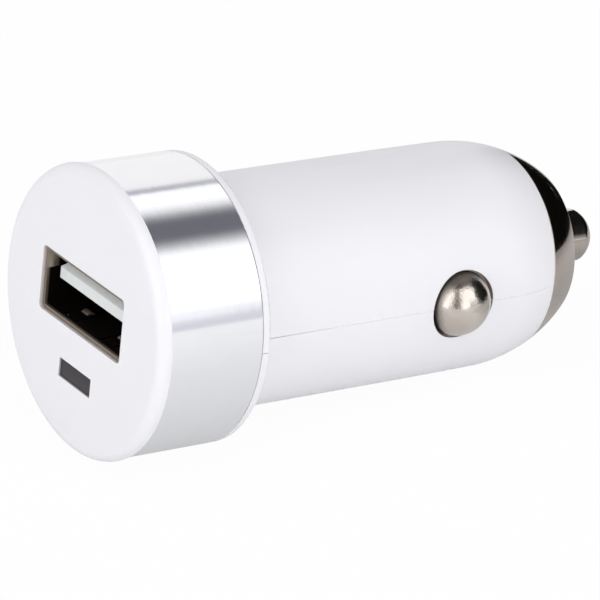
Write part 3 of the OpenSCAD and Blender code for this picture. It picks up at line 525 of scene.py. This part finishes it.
# %% Meshes from arrays
def grid_faces(rows, columns, close_rows):
    """Quads of a grid whose columns wrap round, and whose rows do too if asked."""
    count = rows if close_rows else rows - 1
    i, j = np.meshgrid(np.arange(count), np.arange(columns), indexing="ij")
    i2, j2 = (i + 1) % rows, (j + 1) % columns
    corners = [i * columns + j, i * columns + j2, i2 * columns + j2, i2 * columns + j]
    return np.stack(corners, -1).reshape(-1, 4)


def put_mesh(name, points, faces, finish, sharp=35.0):
    """A mesh object from arrays: doubles merged, faces turned outwards, smooth up to an angle."""
    mesh = bpy.data.meshes.new(name)
    mesh.from_pydata(np.asarray(points).tolist(), [], np.asarray(faces).tolist())
    work = bmesh.new()
    work.from_mesh(mesh)
    bmesh.ops.remove_doubles(work, verts=work.verts, dist=1e-7)
    bmesh.ops.dissolve_degenerate(work, dist=1e-7, edges=work.edges)
    bmesh.ops.recalc_face_normals(work, faces=work.faces)
    work.to_mesh(mesh)
    work.free()
    mesh.shade_smooth()
    mesh.set_sharp_from_angle(angle=math.radians(sharp))
    mesh.materials.append(finishes[finish])
    made = bpy.data.objects.new(name, mesh)
    bpy.context.scene.collection.objects.link(made)
    return made


def places(mesh):
    """The places of a mesh's vertices, one row each."""
    points = np.empty(len(mesh.vertices) * 3)
    mesh.vertices.foreach_get("co", points)
    return points.reshape(-1, 3)


def settle(piece, node):
    """The piece stands for a node: it rides on that node's body and hides it."""
    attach(piece, body_of_node[node])
    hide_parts(node)
    low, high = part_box(node)
    points = places(piece.data)
    off = max(abs(points.min(0) - np.array(low)).max(), abs(points.max(0) - np.array(high)).max())
    print(f"{piece.name}: {len(piece.data.polygons)} faces, box off the solid's by {off * 1000:.3f} mm")
    return piece


print("a closed tube of 3 rings of 4 points has", len(grid_faces(3, 4, True)), "faces")


# %% Turning
def stand(height, radius, angle, towards):
    """Points round an axis: the axis point at a height, plus a radius times the cosine and the sine of an
    angle along two cross directions. The axis is the plug's, or, with towards 1 or -1, a side contact's."""
    across, up = radius * np.cos(angle), radius * np.sin(angle)
    height = np.broadcast_to(height, across.shape)
    if towards is None:
        points = np.stack([height, across, up], -1)
    else:
        points = np.stack([STUD_STATION + across, towards * height, up], -1)
    return lay(points.reshape(-1, 3))


def turned(name, node, profile, towards=None, segments=256, finish=None):
    """Turns a closed profile of (height, radius) about an axis: one ring of points for each of its points."""
    profile = np.asarray(profile, float)
    angle = np.linspace(0, 2 * np.pi, segments, endpoint=False)
    points = stand(profile[:, :1], np.maximum(profile[:, 1:], 0), angle, towards)
    faces = grid_faces(len(profile), segments, True)
    settle(put_mesh(name, points, faces, finish or slots[node]), node)


print("a side contact's axis starts at", (stand(0.0, 0.0, np.zeros(1), 1) * 1000).round(2), "mm")


# %% [markdown]
# ### The ring round the head
# A thin tube, 9.2 mm long, cut off square with its edges broken. Its outside is what the eye goes to first,
# so it gets a fine profile and many segments.

# %% Ring
RING_ENDS = (1.15, 10.35)
RING_RADII = (12.40, 12.85)
ring_corners = [(RING_ENDS[0], RING_RADII[0]), (RING_ENDS[0], RING_RADII[1]),
                (RING_ENDS[1], RING_RADII[1]), (RING_ENDS[1], RING_RADII[0])]
turned("trim_ring_turned", "trim_ring", rounded(ring_corners, [0.03, 0.06, 0.05, 0.03]), segments=384)

# %% [markdown]
# ### The metal nose
# The nose carries on the curve of the barrel, a circle of 15.3 mm radius in profile, then turns over a
# small edge into a flat end with a hole for the pin. The profile is that curve as many points, closed by
# the end, the hole and the inside; only its true corners are rounded.

# %% Nose
NOSE_CURVE = 15.3
CURVE_STARTS = 38.7
NOSE_ENDS = (44.05, 47.95)
NOSE_FLOOR = 46.60
PIN_HOLE = 2.51
NOSE_BORE = 6.93
CURVE_POINTS = 28
nose_stations = np.linspace(*NOSE_ENDS, CURVE_POINTS)
nose_radii = TAIL_RADIUS - NOSE_CURVE + np.sqrt(NOSE_CURVE ** 2 - (nose_stations - CURVE_STARTS) ** 2)
nose_curve = np.column_stack([nose_stations, nose_radii])
nose_inside = [(NOSE_ENDS[1], PIN_HOLE), (NOSE_FLOOR, PIN_HOLE), (NOSE_FLOOR, NOSE_BORE),
               (NOSE_ENDS[0], NOSE_BORE)]
nose_edges = np.concatenate([[0.06], np.zeros(CURVE_POINTS - 2), [0.30], [0.28, 0.05, 0.05, 0.05]])
nose_profile = rounded(np.vstack([nose_curve, nose_inside]), nose_edges)
turned("nose_turned", "nose_ring", nose_profile, segments=320)

# %% [markdown]
# ### The pin and the side contacts
# All three are pins with a domed head, a collar that keeps them in and a short stem that centres the
# spring. The dome's radius is a little larger than the pin's, which leaves a soft edge where they meet.
# The profile runs up the axis and back along the surface, and its two points on the axis close the poles.

# %% Pin and side contacts
def domed(stem, stem_r, collar, collar_r, shoulder, pin_r, tip, dome_r, edge):
    """Profile from the stem's end on the axis, out over collar and pin, along the dome to its tip. The dome
    is an arc about the point one dome radius below the tip, from where it meets the pin to the axis."""
    reach = math.asin(pin_r / dome_r)
    swing = np.linspace(reach, 0, 25)
    dome = np.column_stack([tip - dome_r + dome_r * np.cos(swing), dome_r * np.sin(swing)])
    start = [(stem, 0), (stem, stem_r), (collar, stem_r), (collar, collar_r), (shoulder, collar_r),
             (shoulder, pin_r)]
    radii = np.concatenate([[0, 0.15, 0.05, 0.12, 0.12, 0.05, edge], np.zeros(len(dome) - 1)])
    return rounded(np.vstack([start, dome]), radii)


HANDS = (("left", 1), ("right", -1))
pin_profile = domed(stem=44.10, stem_r=1.75, collar=45.30, collar_r=3.65, shoulder=46.55, pin_r=2.43,
                    tip=54.50, dome_r=2.70, edge=0.5)
contact_profile = domed(stem=5.90, stem_r=1.75, collar=6.80, collar_r=3.65, shoulder=7.65, pin_r=2.95,
                        tip=12.30, dome_r=3.05, edge=0.5)
turned("pin_turned", "center_pin", pin_profile)
for hand, sign in HANDS:
    turned(f"{hand}_contact_turned", f"{hand}_contact", contact_profile, sign, finish="nickel_tumbled")

# %% [markdown]
# ### The coil springs
# A spring machine pushes wire against a steel finger that bends it, and opens the pitch between the first
# and the last turn. Here the way along the wire and the way round it are the two parameters of the
# surface. A contact that is pressed in shortens its spring. The wire is drawn a hair thinner than it is, so
# that it doesn't cut into its two seats.

# %% Springs
COIL_RADIUS = 2.15
WIRE = 0.4
DRAWN_WIRE = 0.38
TURNS = 5


def coil(name, node, foot, length, towards=None, start=0.0):
    """Wire round a helix. At t from 0 to 1 along it the wire's middle has turned t times the turns, and has
    risen by the room between its ends times (t - 0.7 sin(2 pi t) / 2 pi), so the end turns lie close. The
    first and the last ring of points have no radius and close the ends. Start is a share of a turn."""
    t = np.concatenate([[0], np.linspace(0, 1, 28 * TURNS + 1), [1]])[:, None]
    wire = np.full_like(t, DRAWN_WIRE / 2)
    wire[[0, -1]] = 0
    around = np.linspace(0, 2 * np.pi, 10, endpoint=False)
    rise = (length - WIRE) * (t - 0.7 * np.sin(2 * np.pi * t) / (2 * np.pi))
    height = foot + WIRE / 2 + rise + wire * np.sin(around)
    points = stand(height, COIL_RADIUS + wire * np.cos(around), 2 * np.pi * (TURNS * t + start), towards)
    faces = grid_faces(len(t), len(around), False)
    spring = settle(put_mesh(name, points, faces, slots[node]), node)
    anchor = stand(foot, 0.0, np.zeros(1), towards)[0]
    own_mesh(spring)


coil("pin_spring_wound", "pin_spring", foot=39.80, length=5.50, start=-0.25)
for hand, sign in HANDS:
    coil(f"{hand}_spring_wound", f"{hand}_spring", foot=1.25, length=5.55,
         towards=sign)

# %% [markdown]
# ## Moulded and bent pieces
# The cap, the halves of the barrel, the socket and the lamp already have their right shape as solids, but
# the edges of a solid are perfectly sharp, and a moulded edge never is: it catches a thin line of light.
# A copy of each is merged, its flat faces are joined, and a Bevel modifier breaks the edges. The
# solid under it stays as it is.

# %% Softened copies
def softened(node, width, segments=3, sharp=40.0):
    """A merged copy of a node's mesh. A modifier rounds its edges over a width in millimetres and keeps the
    flat faces beside them flat to the light."""
    source = nodes[node].data
    source.calc_loop_triangles()
    corners = np.empty(len(source.loop_triangles) * 3, np.int32)
    source.loop_triangles.foreach_get("vertices", corners)
    mesh = bpy.data.meshes.new(node + "_moulded")
    mesh.from_pydata(places(source).tolist(), [], corners.reshape(-1, 3).tolist())
    work = bmesh.new()
    work.from_mesh(mesh)
    bmesh.ops.remove_doubles(work, verts=work.verts, dist=1e-6)
    bmesh.ops.dissolve_limit(work, angle_limit=math.radians(0.4), verts=work.verts, edges=work.edges)
    work.to_mesh(mesh)
    work.free()
    mesh.shade_smooth()
    mesh.set_sharp_from_angle(angle=math.radians(sharp))
    mesh.materials.append(finishes[slots[node]])
    made = bpy.data.objects.new(node + "_moulded", mesh)
    bpy.context.scene.collection.objects.link(made)
    bevel = made.modifiers.new("edges", "BEVEL")
    bevel.width = width / 1000
    bevel.segments = segments
    bevel.limit_method = "ANGLE"
    bevel.angle_limit = math.radians(sharp)
    bevel.harden_normals = True
    bevel.miter_outer = "MITER_ARC"
    settle(made, node)


softened("face_cap", 0.04)
for node, width in (("upper_housing", 0.025), ("lower_housing", 0.025), ("socket_shield", 0.05),
                    ("socket_tongue", 0.06), ("indicator_lamp", 0.06)):
    softened(node, width, 2)

# %% [markdown]
# ## Table, backdrop and light
# The picture has a pure white ground and flat, soft light, as in a light tent. The table is a pale
# matt sheet. Where the camera looks at it, most of its brightness is a plain white, and the rest is the
# real light on it, so that it keeps the plug's shadow. A reflection sees more of the real light, and so
# the metal darkens towards the place where the plug lies. The world is white to the camera and to
# reflections, and lights the plug a little less from the side of its tip.

# %% Table
def ray_kinds(net, *kinds):
    """1 for a ray of one of these kinds, and 0 for the others."""
    path = net.tree.nodes.new("ShaderNodeLightPath")
    rays = [Wire(net, path.outputs[f"Is {kind} Ray"]) for kind in kinds]
    return net.node("Clamp", None, {"Value": sum(rays[1:], rays[0])})


def table_finish(seen, mirrored):
    """Plain white for a share of what is seen or mirrored, and the light that falls on it for the rest."""
    material = bpy.data.materials.new("table")
    net = Net(material)
    matt = net.node("BsdfDiffuse", None, {"Color": rgb(0.95, 0.95, 0.95)})
    white = net.node("Emission", None, {"Color": rgb(1, 1, 1), "Strength": 1.0})
    share = ray_kinds(net, "Camera") * seen + ray_kinds(net, "Glossy", "Transmission") * mirrored
    mixed = net.node("MixShader", None, {0: share, 1: matt, 2: white})
    net.node("OutputMaterial", None, {"Surface": mixed})
    return material


def sheet_faces(rows, columns):
    """Quads of an open grid."""
    i, j = np.meshgrid(np.arange(rows - 1), np.arange(columns - 1), indexing="ij")
    first = i * columns + j
    return np.stack([first, first + columns, first + columns + 1, first + 1], -1).reshape(-1, 4)


finishes["table"] = table_finish(0.96, 0.60)
u, v = np.meshgrid(np.linspace(-2, 2, 9), np.linspace(-2, 2, 9), indexing="ij")
table_points = np.stack([u, v, np.zeros_like(u)], -1).reshape(-1, 3)
table_top = put_mesh("table", table_points, sheet_faces(*u.shape), "table")
print("table of", len(table_top.data.polygons), "faces")

# %% World
world = bpy.data.worlds.new("tent")
bpy.context.scene.world = world
sky = Net(world)
where = sky.node("TexCoord", out="Generated")
towards_tip = sky.node("SeparateXYZ", None, {"Vector": where})
tint = sky.node("Mix", {"data_type": "RGBA"},
                {0: towards_tip * 0.5 + 0.5, 6: rgb(1.0, 1.0, 1.0), 7: rgb(0.60, 0.60, 0.63)}, out=2)
tent_light = sky.node("Background", None, {"Color": tint, "Strength": 0.77})
ground = sky.node("Background", None, {"Color": rgb(1, 1, 1), "Strength": 1.0})
seen = ray_kinds(sky, "Camera", "Glossy", "Transmission")
both = sky.node("MixShader", None, {0: seen, 1: tent_light, 2: ground})
sky.node("OutputWorld", None, {"Surface": both})
print("world lit by", len(sky.tree.nodes), "nodes")

# %% [markdown]
# ## Lamps
# Two soft boxes light the plug: a large one at the camera's right hand, and a narrower one at the left.
# Their power is worked out from the brightness that their cloth should have, because that number says
# how bright they look in the metal. Directions are given as on a globe round the table or round the
# plug's axis, in degrees.

# %% Directions
HUB = np.array([0.0, 0.0, 0.012])
TABLE_AXES = np.array([[0, 0, 1], [1, 0, 0], [0, 1, 0]], float)
PLUG_AXES = np.array([along, -side, upward])


def aim(axes, around, off):
    """Unit vectors: off degrees away from the first axis, and around it from the second towards the third:
    cos off times the first, plus sin off times (cos around times the second + sin around times the third)."""
    a, o = np.radians(around), np.radians(off)
    return np.stack([np.cos(o) + 0 * a, np.sin(o) * np.cos(a), np.sin(o) * np.sin(a)], -1) @ axes


print("straight up is", aim(TABLE_AXES, 0.0, 0.0).round(3))


# %% Soft boxes
def soft_box(name, azimuth, elevation, wide, high, distance, radiance):
    """A rectangular lamp that faces the plug. Its power is radiance times pi times its area."""
    data = bpy.data.lights.new(name, "AREA")
    data.shape = "RECTANGLE"
    data.size = 2 * distance * math.tan(math.radians(wide / 2))
    data.size_y = 2 * distance * math.tan(math.radians(high / 2))
    data.energy = radiance * math.pi * data.size * data.size_y
    lamp_object = bpy.data.objects.new(name, data)
    out = Vector(aim(TABLE_AXES, azimuth, 90 - elevation))
    lamp_object.location = Vector(HUB) + out * distance
    lamp_object.rotation_euler = (-out).to_track_quat("-Z", "Y").to_euler()
    lamp_object.visible_camera = False
    bpy.context.scene.collection.objects.link(lamp_object)
    return data.energy


watts = soft_box("box_right", azimuth=-88, elevation=24, wide=62, high=62, distance=0.9, radiance=1.12)
watts += soft_box("box_left", azimuth=-170, elevation=28, wide=40, high=56, distance=0.9, radiance=1.12)
print("lamps:", round(watts, 2), "watts in all")

# %% [markdown]
# ## What the metal sees
# Bright metal shows little but its surroundings, so in a white tent it would look like white paper.
# Photographers hang black flags and white cards round it. So does this scene: patches of a sphere round
# the plug, seen by reflections alone. A straight dark band along the ring is the mirror of a
# flag that is straight along the plug's axis, so those flags are laid out by the angle round that axis.
# Where two cards overlap, the nearer one is seen, so each has a distance of its own.

# %% How a card is hung
def hang(name, points, cover, level):
    """A sheet that only reflections see: its own glow where cover is 1, and nothing where it is 0."""
    cloth = bpy.data.materials.new(name + "_cloth")
    net = Net(cloth)
    glow = net.node("Emission", None, {"Color": rgb(*level), "Strength": 1.0})
    clear = net.node("BsdfTransparent")
    amount = net.node("Attribute", {"attribute_name": "cover"}, out=2)
    net.node("OutputMaterial", None, {"Surface": net.node("MixShader", None, {0: amount, 1: clear, 2: glow})})
    mesh = bpy.data.meshes.new(name)
    mesh.from_pydata(points.reshape(-1, 3).tolist(), [], sheet_faces(*cover.shape).tolist())
    mesh.attributes.new("cover", "FLOAT", "POINT").data.foreach_set("value", cover.ravel().astype(np.float32))
    mesh.materials.append(cloth)
    card = bpy.data.objects.new(name, mesh)
    bpy.context.scene.collection.objects.link(card)
    for kind in ("camera", "diffuse", "transmission", "volume_scatter", "shadow"):
        setattr(card, "visible_" + kind, False)


def fading(place, low, high):
    """0 at both ends of 0..1, rising over low at the start and falling over high at the end, as a smooth
    step: three times the square less twice the cube."""
    rise = np.clip(np.minimum(place / low, (1 - place) / high), 0, 1)
    return rise * rise * (3 - 2 * rise)


def sky_card(name, axes, around, off, soft, level, distance, hub=HUB):
    """Patch of a sphere between two angles around an axis and two off it; soft edges, in degrees."""
    s, t = np.meshgrid(np.linspace(0, 1, 49), np.linspace(0, 1, 33), indexing="ij")
    a, o = around[0] + s * (around[1] - around[0]), off[0] + t * (off[1] - off[0])
    wide, high = around[1] - around[0], off[1] - off[0]
    cover = fading(s, soft[0] / wide, soft[1] / wide) * fading(t, soft[2] / high, soft[3] / high)
    hang(name, hub + distance * aim(axes, a, o), cover, level)


def grey(level, cool=1.0):
    """A grey, with more or less blue in it."""
    return (level, level, level * cool)


print("a card's edge is", fading(np.array([0.0, 0.1, 0.2, 0.5]), 0.2, 0.2).round(3))

# %% [markdown]
# The ring is a cylinder, so it mirrors the cards as stripes along the plug. From the top of the ring down
# they are a cream card, a thin grey line, a white card, a wide grey flag with soft edges, another white card
# and a faint grey line.

# %% Cards that the ring mirrors
ALONG_THE_RING = (32, 84)
for name, around, ends, level, distance in (
        ("card_low", (10, 66), (5, 5), grey(1.14), 0.64),
        ("card_high", (92, 121), (5, 4), grey(1.14), 0.64),
        ("card_cream", (118, 200), (8, 5), (0.98, 0.96, 0.955), 0.64),
        ("flag_ring", (57.5, 105), (17, 19), grey(0.15, 1.15), 0.60),
        ("line_high", (117, 126.5), (2.5, 5), grey(0.44, 1.12), 0.60),
        ("line_low", (-3, 23.6), (1, 19.3), grey(0.68, 1.08), 0.60)):
    sky_card(name, PLUG_AXES, around, ALONG_THE_RING, (*ends, 4, 4), level, distance)
print("stripes for the ring hung")

# %% [markdown]
# The domes mirror nearly everything round them, as a small fisheye picture. Two bright cards at the left and
# the right give them their highlights, with a darker gap between. Flags overhead and behind keep their
# upper halves brown, and a small near one shades the side contact's upper left. The last flag stands behind
# the tip.

# %% Cards that the domes mirror
ABOVE_CONTACT = np.array([0.007, -0.0115, 0.012])
for name, around, off, soft, level, distance in (
        ("glow_right", (-114, -42), (28, 87), (15, 13, 8, 26), grey(1.80), 0.62),
        ("glow_left", (-182, -130), (28, 87), (5, 12, 8, 26), grey(1.75), 0.70),
        ("gap_front", (-144, -99), (24, 96), (20, 18, 8, 6), (0.19, 0.17, 0.155), 0.61),
        ("flag_top", (-180, 180), (0, 30), (0.01, 0.01, 0.01, 9), (0.06, 0.045, 0.035), 0.66),
        ("flag_side", (120, 180), (20, 100), (12, 5, 6, 6), (0.30, 0.26, 0.235), 0.68),
        ("flag_tip", (-44, 39), (56, 95), (5, 5, 6, 2), grey(0.01), 0.72)):
    sky_card(name, TABLE_AXES, around, off, soft, level, distance)
sky_card("flag_near", TABLE_AXES, (6, 72), (18, 52), (8, 10, 6, 6), (0.36, 0.32, 0.285), 0.045,
         ABOVE_CONTACT)
print("cards for the domes hung")

# %% [markdown]
# The nose and the pin are seen almost edge on, so they mirror what stands right behind them. A low and a
# high curtain there, bent round the tip, give their black upper halves. They stand close, so the ring,
# which is further forward, sees past them. A third one stands beside the tip, on the camera's side, and
# its foot fades, because the side contact sees that too.

# %% Curtains
def curtain(name, path, low, high, level, foot=0.0):
    """Upright sheet over a path on the table: a point's place is its place on the path, at a height. Its
    foot may fade in over a part of its height."""
    path = np.asarray(path, float)
    length = np.concatenate([[0], np.cumsum(np.linalg.norm(np.diff(path, axis=0), axis=1))])
    s, t = np.meshgrid(np.linspace(0, 1, 161), np.linspace(0, 1, 17), indexing="ij")
    x = np.interp(s * length[-1], length, path[:, 0])
    y = np.interp(s * length[-1], length, path[:, 1])
    soft = 0.03 / length[-1]
    cover = fading(s, soft, soft) * np.clip((1 - t) / 0.12, 0, 1) * (fading(t, foot, 1e-3) if foot else 1.0)
    hang(name, np.stack([x, y, low + t * (high - low)], -1), cover, level)


BEHIND_TIP = [(0.100, -0.034), (0.095, 0.02), (0.080, 0.06), (0.112, 0.10), (0.20, 0.19), (0.35, 0.34),
              (0.90, 0.88)]
curtain("curtain_low", [(0.125, -0.10)] + BEHIND_TIP, 0.0005, 0.014, grey(0.003))
curtain("curtain_high", [(0.135, -0.13)] + BEHIND_TIP, 0.012, 0.13, grey(0.003))
curtain("curtain_side", [(0.124, -0.150), (0.106, -0.05)], -0.012, 0.115, grey(0.01), foot=0.5)
print("curtains hung")

# %% [markdown]
# The table is mirrored too. A soft grey patch on it dims its reflection in the side contact, and a wider
# shade gets darker towards the plug, as the real shadow does, and behind the tip, where the nose looks.

# %% Patch and shade on the table
s, t = np.meshgrid(np.linspace(0, 1, 33), np.linspace(0, 1, 33), indexing="ij")
patch_points = np.stack([0.03 + 0.14 * s, -0.115 + 0.115 * t, 0.0004 + 0 * s], -1)
hang("patch", patch_points, fading(s, 0.5, 0.1) * fading(t, 0.35, 0.2), grey(0.38))

HALF_LENGTH = 0.028
TIP_STATIONS = [0.018, 0.030, 0.060, 0.070, 0.086, 0.095, 0.120]
TIP_COVER = [0, 0.25, 0.30, 0.38, 0.58, 0.78, 0.90]
x, y = np.meshgrid(np.linspace(-0.10, 0.12, 89), np.linspace(-0.14, 0.10, 97), indexing="ij")
from_plug = np.hypot(x - np.clip(x, -HALF_LENGTH, HALF_LENGTH), y)
near_plug = 0.40 * np.exp(-from_plug / 0.024)
under_tip = np.interp(x, TIP_STATIONS, TIP_COVER) * np.clip((y + 0.09) / 0.045, 0, 1)
border = fading((x + 0.10) / 0.22, 0.2, 0.1) * fading((y + 0.14) / 0.24, 0.2, 0.2)
near_cover = (1 - (1 - near_plug) * (1 - under_tip)) * border
hang("shade", np.stack([x, y, 0 * x + 0.0003], -1), near_cover, grey(0.04))
print("patch and shade hung")
